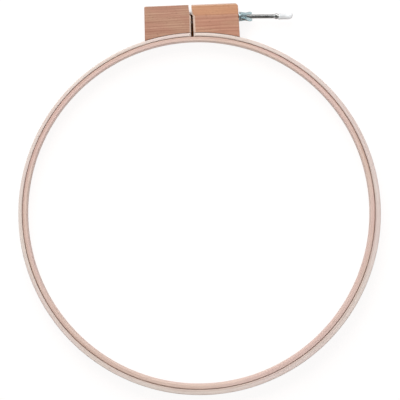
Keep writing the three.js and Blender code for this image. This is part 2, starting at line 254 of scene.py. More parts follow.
def write_grain(mesh, values):
    """Keeps each point's place along, across and through the bent wood, in millimetres."""
    attribute = mesh.attributes.new("grain", "FLOAT_VECTOR", "POINT")
    attribute.data.foreach_set("vector", np.asarray(values, np.float32).ravel())


def write_value(mesh, name, values):
    attribute = mesh.attributes.new(name, "FLOAT", "POINT")
    attribute.data.foreach_set("value", np.asarray(values, np.float32))


def new_object(name, points, faces, place=ON_HOOP, grain=None):
    """A mesh in the row frame, in metres, with the grain's place at each point if it is given."""
    mesh = bpy.data.meshes.new(name)
    mesh.from_pydata([tuple(place @ Vector(p) * MM) for p in points], [], faces)
    if grain:
        write_grain(mesh, grain)
    clean(mesh)
    obj = bpy.data.objects.new(name, mesh)
    bpy.context.scene.collection.objects.link(obj)
    return obj


def apply_modifiers(obj):
    bpy.context.view_layer.update()
    evaluated = obj.evaluated_get(bpy.context.evaluated_depsgraph_get())
    mesh = bpy.data.meshes.new_from_object(evaluated)
    obj.modifiers.clear()
    obj.data = mesh
    mesh.name = obj.name


def boolean(obj, others, operation="DIFFERENCE"):
    """Cuts the others from obj or joins them to it, and deletes them."""
    for other in others:
        modifier = obj.modifiers.new(other.name, "BOOLEAN")
        modifier.operation = operation
        modifier.solver = "EXACT"
        modifier.object = other
    apply_modifiers(obj)
    clean(obj.data)
    for other in others:
        bpy.data.objects.remove(other)


def dress(obj, body, material, stands_for=(), sharp=35):
    """Shades a finished piece, gives it its material and puts it on its CAD body."""
    obj.data.shade_smooth()
    obj.data.set_sharp_from_angle(angle=math.radians(sharp))
    weighted = obj.modifiers.new("normals", "WEIGHTED_NORMAL")
    weighted.keep_sharp = True
    apply_modifiers(obj)
    obj.data.materials.clear()
    obj.data.materials.append(material)
    if body:
        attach(obj, body)
    if stands_for:
        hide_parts(*stands_for)


def link(faces, a, b, count):
    """Adds the faces between two rings of points, which start at a and b."""
    for k in range(count):
        n = (k + 1) % count
        faces.append((a + k, a + n, b + n, b + k))


def loft(rings, closed=False):
    """Points and faces of a surface through rings of as many points, capped or closed on itself."""
    count = len(rings[0])
    last = (len(rings) - 1) * count
    points = [tuple(p) for ring in rings for p in ring]
    faces = []
    for start in range(0, last, count):
        link(faces, start, start + count, count)
    if closed:
        link(faces, last, 0, count)
    else:
        faces.append(tuple(range(count)))
        faces.append(tuple(range(last, last + count)))
    return points, faces


def across(x, half_y, half_z, power=2, sides=BOLT_SIDES, lift=0.0):
    """A section across the bolt: a circle, an ellipse or, with a high power, a rounded square."""
    ring = []
    for i in range(sides):
        angle = 2 * math.pi * i / sides
        c, s = math.cos(angle), math.sin(angle)
        size = (abs(c) ** power + abs(s) ** power) ** (-1 / power)
        ring.append((x, half_y * c * size + lift, half_z * s * size))
    return ring


def at_angle(section, angle, centre=(0, 0)):
    """A section of (radius, z) in a direction from the centre."""
    c, s = math.cos(angle), math.sin(angle)
    return [(centre[0] + r * c, centre[1] + r * s, z) for r, z in section]


def rounded(corners, radius, segments=4):
    """A closed profile's corners, each cut round by an arc. A radius may be given for each."""
    radii = radius if isinstance(radius, (list, tuple)) else [radius] * len(corners)
    outline = []
    for i, corner in enumerate(corners):
        here = Vector(corner)
        before = (Vector(corners[i - 1]) - here).normalized()
        after = (Vector(corners[(i + 1) % len(corners)]) - here).normalized()
        if radii[i] <= 0:
            outline.append(tuple(here))
            continue
        half = before.angle(after) / 2
        middle = here + (before + after).normalized() * (radii[i] / math.sin(half))
        start = here + before * (radii[i] / math.tan(half)) - middle
        end = here + after * (radii[i] / math.tan(half)) - middle
        first = math.atan2(start.y, start.x)
        sweep = (math.atan2(end.y, end.x) - first + math.pi) % (2 * math.pi) - math.pi
        for k in range(segments + 1):
            angle = first + sweep * k / segments
            x = middle.x + radii[i] * math.cos(angle)
            outline.append((x, middle.y + radii[i] * math.sin(angle)))
    return outline


def turned(profile, sides=BOLT_SIDES, closed=True):
    """Rings of a solid of revolution about the bolt from a profile of (x, radius)."""
    return loft([across(x, radius, radius, sides=sides) for x, radius in profile], closed)


def rod(name, start, end, radius, place=ON_BOLT):
    return new_object(name, *turned([(start, radius), (end, radius)], closed=False), place)


def curve_to(start, control, end, steps=8):
    """Points of a quadratic curve after its start."""
    a, b, c = Vector(start), Vector(control), Vector(end)
    shares = [(i + 1) / steps for i in range(steps)]
    return [tuple(a.lerp(b, t).lerp(b.lerp(c, t), t)) for t in shares]


def eased(share):
    return share * share * (3 - 2 * share)


# Rings


def waver(along, seed):
    """How far a strip's face wanders from true at a place along it, from 0 to STRIP_WAVER."""
    long_wave = noise.noise(Vector((along / LONG_WAVE, seed, 0.5)))
    short_wave = noise.noise(Vector((along / SHORT_WAVE, seed, 4.5)))
    return STRIP_WAVER * min(1, max(0, 0.5 + 0.6 * (long_wave + 0.5 * short_wave)))


def inset(depth, radius):
    """How far a face is set in, at a depth below the broad face that it meets in a rounded edge."""
    return radius - math.sqrt(radius**2 - min(radius, max(0, radius - depth)) ** 2)


def ring_section(inside, outside, along):
    """Section of a strip: (radius, z) round its eased edges."""
    low = inside + waver(along, 1)
    high = outside - waver(along, 2)
    foot = waver(along, 3)
    top = RING_DEPTH - waver(along, 4)
    corners = [(high, top), (low, top), (low, foot), (high, foot)]
    radii = [RING_EDGE * (EDGE_LEAST + EDGE_WAVER * waver(along, 5 + i)) for i in range(4)]
    return rounded(corners, radii, EDGE_SEGMENTS)


def strip_inside(angle):
    """Radius of the outer strip's inside in a direction, from the centre of its outside."""
    direction = np.array([math.cos(angle), math.sin(angle)])
    along = INNER_CENTRE @ direction
    return along + math.sqrt(STRIP_INNER**2 - INNER_CENTRE @ INNER_CENTRE + along**2)


def slit_wall(side, y):
    return side * float(np.interp(y - STRIP_RADIUS, SLIT_HEIGHTS, SLIT_WALLS[side]))


def slit_cutter():
    inner = [STRIP_RADIUS + height for height in SLIT_HEIGHTS[:-1]]
    heights = [STRIP_INNER - 2 * MARGIN, *inner, BLOCK_TOP + MARGIN / 2]
    outline = [(slit_wall(1, y), y) for y in heights]
    outline += [(slit_wall(-1, y), y) for y in reversed(heights)]
    rings = [[(x, y, z) for x, y in outline] for z in (-MARGIN, RING_DEPTH + MARGIN)]
    return new_object("slit", *loft(rings))


def slit_edge_cutter(side):
    """What is taken off an edge along the slit: up to the bolt, and less and less above it."""
    fade = SLIT_EASE_FADE[side]
    above_bolt = [BOLT_AT_SLIT + rise for rise in sorted({0, SLIT_STEP, fade})]
    rings = []
    for y in [STRIP_INNER - 1, STRIP_RADIUS, *above_bolt]:
        ease = SLIT_EASE[side] * min(1, 1 - (y - BOLT_AT_SLIT) / fade)
        wall = slit_wall(side, y)
        high = wall + side * (ease + MARGIN)
        outline = [(-side, -ease), (wall, -ease), (high, MARGIN), (-side, MARGIN)]
        rings.append([(x, y, RING_DEPTH + z) for x, z in outline])
    return new_object("slit_edge", *loft(rings))


def brad_place(side, place):
    """Moves a brad made along X to its place in the strip."""
    angle = math.pi / 2 - side * place / STRIP_RADIUS
    start = Matrix.Translation((strip_inside(angle) + BRAD_SINK, 0, RING_DEPTH / 2))
    return ON_HOOP @ Matrix.Rotation(angle, 4, "Z") @ start


def brad_holes(side):
    shank = BRAD_RADIUS + BRAD_FIT
    head = BRAD_HEAD + BRAD_FIT
    step = BRAD_HEAD_HEIGHT + BRAD_FIT
    profile = [(-MARGIN, head), (step, head), (step, shank), (BRAD_LENGTH + BRAD_FIT, shank)]
    hole = turned(profile, 24, closed=False)
    return [new_object("brad_hole", *hole, brad_place(side, place)) for place in BRAD_PLACES]


def write_seam(mesh):
    """Keeps each point's distance from the middle of the band of painted shade along the seam, in
    millimetres.
    """
    centre = Vector((*(INNER_CENTRE + SEAM_SHADE_SHIFT), 0)) + Vector((0, CENTRE_Y, 0))
    distances = [abs((v.co / MM - centre).xy.length - SEAM_RADIUS) for v in mesh.vertices]
    write_value(mesh, "seam", distances)


def outer_strip(name, first, last):
    """Part of the outer ring between two angles, in degrees clockwise from the slit."""
    steps = max(2, round(RING_STEPS * (last - first) / 360))
    rings = []
    for i in range(steps + 1):
        turn = math.radians(first + (last - first) * i / steps)
        angle = math.pi / 2 - turn
        section = ring_section(strip_inside(angle), STRIP_RADIUS, turn * STRIP_RADIUS)
        rings.append(at_angle(section, angle))
    return new_object(name, *loft(rings))


def grain_of_outer(mesh):
    grain = []
    for vertex in mesh.vertices:
        x, y, z = vertex.co / MM
        turn = math.atan2(x, y - CENTRE_Y)
        along = STRIP_RADIUS * (turn + 2 * math.pi * (turn < 0))
        grain.append((along, math.hypot(x, y - CENTRE_Y), z))
    write_grain(mesh, grain)


def outer_ring(material):
    """The strip in three pieces: both sides are stiff and ride on their bodies, and the stretch
    opposite the slit, which bends in the real hoop, rides on none.
    """
    spans = {
        "outer_hoop_right": (0, 180 - FLEX_ANGLE, 1),
        "outer_hoop_flex": (180 - FLEX_ANGLE, 180, 0),
        "outer_hoop_left": (180, 360, -1),
    }
    for name, (first, last, side) in spans.items():
        piece = outer_strip(name, first, last)
        if side:
            boolean(piece, [slit_cutter(), slit_edge_cutter(side), *brad_holes(side)])
        node = f"outer_ring_{SIDES[side or 1]}"
        dress(piece, BODIES.get(side), material, [node])
        grain_of_outer(piece.data)
        write_seam(piece.data)
        if not side:
            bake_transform(piece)


def feathered(radius, z, least, most):
    """A point of the section, kept between two radii and, if it moves, under the eased edge."""
    kept = min(max(radius, least), most)
    if kept == radius:
        return radius, z
    depth = min(kept - SEAM_RADIUS + INNER_THICKNESS, SEAM_RADIUS - kept)
    drop = inset(depth, RING_EDGE)
    return kept, min(max(z, drop), RING_DEPTH - drop)


def inner_ring(material):
    """One strip, its tapered ends glued on each other in a lap."""
    lap = math.radians(LAP_ANGLE)
    whole = 2 * math.pi + lap
    inside = SEAM_RADIUS - INNER_THICKNESS
    steps = round(RING_STEPS * (1 + LAP_ANGLE / 360))
    rings = []
    grain = []
    for i in range(steps + 1):
        turn = whole * i / steps
        done = min(1, turn / lap)
        left = min(1, (whole - turn) / lap)
        # The first end lies inside: it grows outwards. The last end lies outside.
        most = inside + done * INNER_THICKNESS - LAP_GAP if done < 1 else math.inf
        least = SEAM_RADIUS - left * INNER_THICKNESS if left < 1 else -math.inf
        section = ring_section(inside, SEAM_RADIUS, (turn % (2 * math.pi)) * SEAM_RADIUS)
        section = [feathered(r, z, least, max(most, inside + LAP_GAP)) for r, z in section]
        rings.append(at_angle(section, math.radians(LAP_END) + turn, INNER_CENTRE))
        grain += [(turn * SEAM_RADIUS, r + INNER_GRAIN, z) for r, z in section]
    piece = new_object("inner_hoop", *loft(rings), grain=grain)
    write_seam(piece.data)
    dress(piece, "inner_ring", material, ["inner_ring"])


# Blocks


def face_x(side, y):
    return side * (BLOCK_HALF_WIDTH + (BLOCK_MIDDLE - y) * BLOCK_LEAN)


def block_body(name, side):
    """The block before it is cut: an outline through the thickness, its edges rounded."""
    top_edge = BLOCK_TOP_EDGE[side]
    turns = [math.pi / 2 * k / BLOCK_EDGE_STEPS for k in range(BLOCK_EDGE_STEPS + 1)]
    edges = {BLOCK_EDGE, top_edge}
    depths = sorted({radius * (1 - math.cos(turn)) for radius in edges for turn in turns})
    levels = [(z, z) for z in depths] + [(RING_DEPTH - z, z) for z in reversed(depths)]
    rings = []
    for z, depth in levels:
        top = BLOCK_TOP - inset(depth, top_edge)
        draw_in = side * inset(depth, BLOCK_EDGE)
        outline = [(0, BLOCK_FOOT), (0, top)]
        outline += [(face_x(side, y) - draw_in, y) for y in (top, BLOCK_FOOT)]
        outline = rounded(outline, [0, 0, BLOCK_CORNER[side], 0], 8)
        rings.append([(x, y, z) for x, y in outline])
    return new_object(name, *loft(rings))


def seat_cutter():
    """What the ring takes out of a block's foot."""
    radius = STRIP_RADIUS + GLUE_LINE
    angles = [2 * math.pi * i / RING_STEPS for i in range(RING_STEPS)]
    circle = [(radius * math.cos(a), radius * math.sin(a)) for a in angles]
    rings = [[(x, y, z) for x, y in circle] for z in (-MARGIN, RING_DEPTH + MARGIN)]
    return new_object("seat", *loft(rings))


def left_bolt_hole():
    """The head's pocket, the square neck's socket and the bolt's hole."""
    half = NECK_HALF + NECK_FIT
    square = [(-half, -half), (half, -half), (half, half), (-half, half)]
    ends = (HEAD_SEAT - 1, HEAD_SEAT + NECK_LENGTH + THREAD_FIT)
    socket = loft([[(x, y, z) for y, z in square] for x in ends])
    return [
        rod("pocket", HEAD_SEAT - 2 * MARGIN, HEAD_SEAT + THREAD_FIT, HEAD_POCKET),
        new_object("socket", *socket, ON_BOLT),
        rod("hole", HEAD_SEAT, MARGIN, BOLT_RADIUS + THREAD_FIT),
    ]


def right_bolt_hole():
    """It lines up with the bolt when the hoop is half open, with room for the swing either way."""
    half = OPEN_ANGLE / 2
    arm = BOLT_POINT - HINGE_POINT
    hinge_to_bolt = arm.cross(BOLT_AXIS).length
    reach = face_station(1) + arm.dot(BOLT_AXIS) + hinge_to_bolt * math.sin(half)
    swing = reach * math.sin(half) + hinge_to_bolt * (1 - math.cos(half))
    turn = Matrix.Rotation(half, 4, "Z")
    swung = Matrix.Translation(HINGE_POINT) @ turn @ Matrix.Translation(-HINGE_POINT)
    end = face_station(1) + hinge_to_bolt * OPEN_ANGLE
    return [rod("hole", -MARGIN, end, BOLT_RADIUS + swing + THREAD_FIT, swung @ ON_BOLT)]


def block(side, material):
    piece = block_body(f"clamp_block_{SIDES[side]}", side)
    holes = left_bolt_hole() if side < 0 else right_bolt_hole()
    cuts = [seat_cutter(), slit_cutter(), slit_edge_cutter(side), *holes, *brad_holes(side)]
    boolean(piece, cuts)
    dress(piece, BODIES[side], material, [f"block_{SIDES[side]}"])


def glue(side, material):
    """The dried glue between a block and the ring, sunk unevenly below their faces."""
    first = math.asin((SLIT_WALLS[side][0] + SLIT_EASE[side]) / STRIP_RADIUS)
    last = math.asin((abs(face_x(side, STRIP_RADIUS)) - GLUE_STOP) / STRIP_RADIUS)
    low = STRIP_RADIUS - GLUE_SHIFT
    high = STRIP_RADIUS + GLUE_LINE - GLUE_SHIFT
    rings = []
    for i in range(GLUE_STEPS + 1):
        turn = first + (last - first) * i / GLUE_STEPS
        sink = GLUE_SINK * (0.6 + 0.8 * noise.noise(Vector((turn * GLUE_LUMPS, side, 0))))
        top = RING_DEPTH - sink
        corners = [(low, sink), (high, sink), (high, top), (low, top)]
        rings.append(at_angle(rounded(corners, GLUE_EDGE, 2), math.pi / 2 - side * turn))
    dress(new_object(f"glue_{SIDES[side]}", *loft(rings)), BODIES[side], material)


# Hardware


def carriage_bolt(material):
    """Domed head, square neck, helical thread, the stretch flattened to keep the nut on, tip."""
    before = []
    for i in range(HEAD_RINGS):
        angle = math.pi / 2 * (1 - (i + HEAD_POLE) / (HEAD_RINGS - 1 + HEAD_POLE))
        radius = HEAD_RADIUS * math.cos(angle) ** HEAD_FULLNESS
        x = HEAD_SEAT - HEAD_RIM - (HEAD_HEIGHT - HEAD_RIM) * math.sin(angle)
        before.append(across(x, radius, radius))
    neck_end = HEAD_SEAT + NECK_LENGTH
    for x, half, power in [
        (HEAD_SEAT - 0.1, HEAD_RADIUS - 0.03, 2),  # the rim's eased lower edge
        (HEAD_SEAT, HEAD_RADIUS - 0.2, 2),
        (HEAD_SEAT + 0.02, NECK_HALF + 0.1, NECK_POWER),  # the corner between head and neck
        (HEAD_SEAT + 0.2, NECK_HALF, NECK_POWER),
        (neck_end - 0.5, NECK_HALF, NECK_POWER),
        (neck_end, BOLT_RADIUS, 2),
        (THREAD_START - 1, BOLT_RADIUS, 2),
    ]:
        before.append(across(x, half, half, power))
    after = []
    for i in range(STAKE_STEPS + 1):
        share = i / STAKE_STEPS
        flat = eased(min(1, 4 * share, 4 * (1 - share)))
        half_y = TIP_RADIUS + (STAKE_HALF_WIDTH - TIP_RADIUS) * flat
        half_z = TIP_RADIUS + (STAKE_HALF_THICKNESS - TIP_RADIUS) * flat
        x = STAKE_START + STAKE_LENGTH * share
        after.append(across(x, half_y, half_z, 2 + STAKE_SQUARENESS * flat))
    after += [
        across(BOLT_TIP - TIP_CHAMFER, TIP_RADIUS, TIP_RADIUS),
        across(BOLT_TIP, BOLT_RADIUS - TIP_CHAMFER, BOLT_RADIUS - TIP_CHAMFER),
    ]
    piece = new_object("bolt", *threaded(before, after), ON_BOLT)
    from_bolt = ON_BOLT.inverted()
    relief = [thread_relief(from_bolt @ (vertex.co / MM)) for vertex in piece.data.vertices]
    write_value(piece.data, "relief", relief)
    dress(piece, BODIES[-1], material, ["carriage_bolt"], sharp=28)


def threaded(before, after):
    """Points and faces of the bolt, lofted through rings before and after its thread."""
    sides = BOLT_SIDES
    steps = len(THREAD_PROFILE)
    rows = steps * (math.ceil((THREAD_END - THREAD_START) / THREAD_PITCH) + 2)
    points = [tuple(p) for ring in before for p in ring]
    base = len(points)
    for j in range(rows + 1):
        phase, height = THREAD_PROFILE[j % steps]
        for i in range(sides):
            x = THREAD_START + (j // steps + phase + i / sides - 1) * THREAD_PITCH
            x = min(THREAD_END, max(THREAD_START, x))
            run_in = (x - THREAD_START) / (THREAD_RUN_IN * THREAD_PITCH)
            run_out = (THREAD_END - x) / (THREAD_RUN_OUT * THREAD_PITCH)
            r = BOLT_RADIUS - THREAD_DEPTH * eased(min(1, run_in, run_out)) * (1 - height)
            angle = 2 * math.pi * i / sides
            points.append((x, r * math.cos(angle), r * math.sin(angle)))
    faces = []
    for j in range(rows):
        for i in range(sides - 1):
            a = base + j * sides + i
            faces.append((a, a + 1, a + sides + 1, a + sides))
        # Where the helix has gone round, its last point meets the first one of the next turn.
        if j + steps < rows:
            a = base + j * sides + sides - 1
            b = base + (j + steps) * sides
            faces.append((a, b, b + sides, a + sides))
    # The helix is clamped at both ends, so its first and last rows are flat rings.
    first_after = len(points)
    points += [tuple(p) for ring in after for p in ring]
    link(faces, base - sides, base, sides)
    link(faces, base + rows * sides, first_after, sides)
    for first, rings in ((0, before), (first_after, after)):
        for i in range(len(rings) - 1):
            link(faces, first + i * sides, first + (i + 1) * sides, sides)
    faces.append(tuple(range(sides)))
    faces.append(tuple(range(len(points) - sides, len(points))))
    return points, faces


def thread_relief(place):
    """1 on the thread's crests and on the head, 0 in its roots."""
    if not THREAD_START < place.x < STAKE_START:
        return STAKE_DULL if place.x > 0 else 1
    height = math.hypot(place.y, place.z) - BOLT_RADIUS + THREAD_DEPTH
    return min(1, max(0, height / THREAD_DEPTH))


def washer(material):
    """Stamped: rolled over on the side of the nut, sharper on the side of the block."""
    bore = BOLT_RADIUS + THREAD_FIT
    start, end = WASHER_START, WASHER_START + WASHER_THICKNESS
    corners = [(start, bore), (start, WASHER_RADIUS), (end, WASHER_RADIUS), (end, bore)]
    piece = new_object("bolt_washer", *turned(rounded(corners, WASHER_EDGES), 64), ON_BOLT)
    dress(piece, "washer", material, ["washer"])


def wing(turn):
    """One wing, its outline from the nut's axis outwards: x is the height above the hub's base."""
    arc_x = NUT_HEIGHT - WING_EDGE - WING_END
    arc_y = WING_HALF_SPAN - WING_EDGE - WING_END
    arc = []
    for i in range(WING_END_STEPS + 1):
        angle = WING_END_FROM + (WING_END_TO - WING_END_FROM) * i / WING_END_STEPS
        arc.append((arc_x + WING_END * math.cos(angle), arc_y + WING_END * math.sin(angle)))
    foot = (WING_FOOT, HUB_RADIUS - WING_SINK)
    top = (HUB_HEIGHT - WING_SINK, HUB_TOP_RADIUS - 2 * WING_SINK)
    outer = (arc[0][0] - WING_OUTER_PULL * math.sin(WING_END_FROM),
             arc[0][1] + WING_OUTER_PULL * math.cos(WING_END_FROM))
    inner = (arc[-1][0] + WING_INNER_PULL * math.sin(WING_END_TO),
             arc[-1][1] - WING_INNER_PULL * math.cos(WING_END_TO))
    outline = [(WING_FOOT, 0), foot, *curve_to(foot, outer, arc[0]), *arc[1:]]
    outline += [*curve_to(arc[-1], inner, top), (top[0], 0)]
    half = WING_THICKNESS / 2 - WING_EDGE
    solid = loft([[(x, y, z) for x, y in outline] for z in (-half, half)])
    turned_up = Matrix.Rotation(math.radians(90 + WING_TURN + turn), 4, "X")
    return new_object("wing", *solid, ON_BOLT @ Matrix.Translation((NUT_START, 0, 0)) @ turned_up)


def wing_nut(material):
    """Hub and wings joined, melted together by a remesh, smoothed and bored."""
    corners = [(0, HUB_CORE), (0, HUB_RADIUS), (HUB_HEIGHT, HUB_TOP_RADIUS), (HUB_HEIGHT, HUB_CORE)]
    profile = [(x + NUT_START, radius) for x, radius in rounded(corners, [0, 0.5, 0.7, 0], 5)]
    nut = new_object("bolt_nut", *turned(profile, 64, closed=False), ON_BOLT)
    boolean(nut, [wing(0), wing(180)], "UNION")
    remesh = nut.modifiers.new("remesh", "REMESH")
    remesh.mode = "VOXEL"
    remesh.voxel_size = NUT_VOXEL * MM
    smooth = nut.modifiers.new("smooth", "SMOOTH")
    smooth.factor = 0.5
    smooth.iterations = NUT_SMOOTHING
    grow = nut.modifiers.new("grow", "DISPLACE")
    grow.mid_level = 0
    grow.strength = NUT_GROWTH * MM
    apply_modifiers(nut)
    bore = rod("bore", NUT_START - MARGIN, NUT_START + NUT_HEIGHT, BOLT_RADIUS + NUT_BORE_FIT)
    boolean(nut, [bore])
    dress(nut, "wing_nut", material, ["wing_nut"], sharp=50)


def cap_section(x, radius, bent=True):
    share = max(0, (x - CAP_BEND_START) / (CAP_LENGTH - CAP_BEND_START))
    lift = CAP_BEND * share**2 if bent else 0
    return across(CAP_START + x, radius, radius, lift=lift, sides=CAP_SIDES)


def end_cap(material):
    """A soft dipped cap: a rolled lip, a body that narrows a little, and a bent, domed tip."""
    bore = BOLT_RADIUS + CAP_FIT
    rings = [cap_section(CAP_GRIP + 0.3, bore, False), cap_section(0.3, bore, False)]
    rings.append(cap_section(0.05, bore + 0.15))  # the mouth, eased
    for i in range(7):
        angle = math.pi * i / 6
        radius = CAP_LIP - CAP_LIP_ROLL + CAP_LIP_ROLL * math.sin(angle)
        rings.append(cap_section(0.55 - 0.5 * math.cos(angle), radius))
    behind_lip = [(1.3, CAP_LIP - 0.2), (1.8, CAP_RADIUS + 0.02), (2.3, CAP_RADIUS)]
    rings += [cap_section(x, radius) for x, radius in behind_lip]
    rings += [cap_section(x, CAP_RADIUS - 0.02 * x / CAP_LENGTH) for x in (4, 6, 8, 9, 10, 11)]
    dome = CAP_LENGTH - CAP_RADIUS
    for i in range(12):
        angle = math.pi / 2 * i / 11.4
        x = dome + CAP_RADIUS * math.sin(angle)
        rings.append(cap_section(x, (CAP_RADIUS - 0.1) * math.cos(angle)))
    piece = new_object("bolt_cap", *loft(rings), ON_BOLT)
    dress(piece, BODIES[-1], material, ["end_cap"], 60)


def brads(material):
    profile = [(0.15, 0.02), (0, BRAD_HEAD * 0.6), (0.12, BRAD_HEAD), (BRAD_HEAD_HEIGHT, BRAD_HEAD)]
    profile += [(BRAD_HEAD_HEIGHT + 0.2, BRAD_RADIUS), (BRAD_LENGTH - BRAD_POINT, BRAD_RADIUS)]
    profile += [(BRAD_LENGTH, 0.05)]
    brad = turned(profile, 28, closed=False)
    for side, name in SIDES.items():
        for i, place in enumerate(BRAD_PLACES, 1):
            piece = new_object(f"nail_{name}_{i}", *brad, brad_place(side, place))
            dress(piece, BODIES[side], material, [f"brad_{name}_{i}"])


# Materials


def srgb(text):
    """Linear colour of a hex sRGB colour."""
    values = [int(text[i : i + 2], 16) / 255 for i in (0, 2, 4)]
    linear = [v / 12.92 if v <= 0.04045 else ((v + 0.055) / 1.055) ** 2.4 for v in values]
    return (*linear, 1)


class Tree:
    """A node tree. Each method adds a node and returns its output.

    What a node's input gets is an output, a value or, for a colour, a hex sRGB text."""

    def __init__(self, owner):
        owner.use_nodes = True
        self.tree = owner.node_tree

    def add(self, kind, inputs, output=0, **settings):
        node = self.tree.nodes.new(kind)
        for key, value in settings.items():
            setattr(node, key, value)
        for key, value in inputs.items():
            if isinstance(value, bpy.types.NodeSocket):
                self.tree.links.new(value, node.inputs[key])
            else:
                colour = isinstance(value, str)
                node.inputs[key].default_value = srgb(value) if colour else value
        return node.outputs[output] if node.outputs else None

    def parts(self, vector):
        return list(self.add("ShaderNodeSeparateXYZ", {0: vector}).node.outputs)

    def maths(self, operation, *values):
        return self.add("ShaderNodeMath", dict(enumerate(values)), operation=operation)

    def times(self, a, b):
        return self.maths("MULTIPLY", a, b)

    def between(self, value, low, high, to_low=0.0, to_high=1.0):
        inputs = {0: value, 1: low, 2: high, 3: to_low, 4: to_high}
        return self.add("ShaderNodeMapRange", inputs, interpolation_type="SMOOTHSTEP")

    def mix(self, share, a, b, blend="MIX"):
        inputs = {0: share, 6: a, 7: b}
        return self.add("ShaderNodeMix", inputs, 2, data_type="RGBA", blend_type=blend)

    def tint(self, share, colour, by):
        """The colour, with a share of it multiplied by another."""
        return self.mix(share, colour, self.mix(1.0, colour, by, "MULTIPLY"))

    def open_to(self, reach, samples):
        """How open a place is within a reach: 1 in the open, 0 deep in a nook."""
        inputs = {"Distance": reach * MM}
        return self.add("ShaderNodeAmbientOcclusion", inputs, "AO", samples=samples)


class Surface(Tree):
    """A material's tree, which ends in its own shader."""

    def __init__(self, name, **shader):
        self.material = bpy.data.materials.new(name)
        super().__init__(self.material)
        self.shader = self.tree.nodes["Principled BSDF"]
        for key, value in shader.items():
            self.shader.inputs[key.replace("_", " ")].default_value = value

    def connect(self, output, name):
        self.tree.links.new(output, self.shader.inputs[name])

    def attribute(self, name, output="Vector"):
        return self.add("ShaderNodeAttribute", {}, output, attribute_name=name)

    def place(self):
        """Place on the piece, in millimetres."""
        coordinates = self.add("ShaderNodeTexCoord", {}, "Object")
        return self.scaled(coordinates, (1 / MM,) * 3)

    def scaled(self, vector, scale):
        return self.add("ShaderNodeVectorMath", {0: vector, 1: scale}, operation="MULTIPLY")

    def moved(self, vector, offset):
        return self.add("ShaderNodeVectorMath", {0: vector, 1: offset}, operation="ADD")

    def noise(self, vector, scale, detail=4.0, roughness=0.55):
        """Noise from 0 to 1; scale is how often it changes per millimetre along each axis."""
        inputs = {"Vector": self.scaled(vector, scale), "Scale": 1.0}
        return self.add("ShaderNodeTexNoise", {**inputs, "Detail": detail, "Roughness": roughness})

    def bump(self, height, distance, normal=None):
        inputs = {"Height": height, "Distance": distance * MM, "Strength": 1.0}
        if normal:
            inputs["Normal"] = normal
        return self.add("ShaderNodeBump", inputs)


def ring_wood(name, pale, tan, flush, seed):
    """Bent pale wood: fibres along the strip, thin streaks, pores, and a pink or tan cast."""
    s = Surface(name)
    grain = s.moved(s.attribute("grain"), (seed, 0, 0))
    fibres = s.noise(grain, (0.02, 1.5, 1.1), 6, 0.62)
    streaks = s.noise(grain, (0.008, 2.6, 1.9), 3, 0.5)
    pores = s.noise(grain, (0.22, 5.5, 4.5), 2, 0.5)
    cast = s.noise(grain, (0.012, 0.1, 0.06), 2, 0.5)
    colour = s.mix(s.between(fibres, 0.34, 0.66), pale, tan)
    colour = s.mix(s.between(cast, 0.42, 0.62, 0.0, 0.7), colour, flush)
    colour = s.tint(s.between(streaks, 0.6, 0.74, 0.0, 0.75), colour, "d9b79c")
    colour = s.mix(s.between(pores, 0.66, 0.72, 0.0, 0.55), colour, "a57c5f")
    # Painted shade: a darker band along the seam between the rings, where their rounded edges meet
    seam_shade = s.between(s.attribute("seam", "Fac"), 0.5, 1.9, 0.28, 0.0)
    s.connect(s.tint(seam_shade, colour, "c3a392"), "Base Color")
    s.connect(s.between(fibres, 0.3, 0.7, 0.62, 0.48), "Roughness")
    relief = s.bump(s.noise(grain, (1.2, 4.0, 4.0), 3, 0.6), 0.015)
    relief = s.bump(fibres, 0.06, relief)
    s.connect(s.bump(s.between(pores, 0.72, 0.64), 0.05, relief), "Normal")
    return s.material


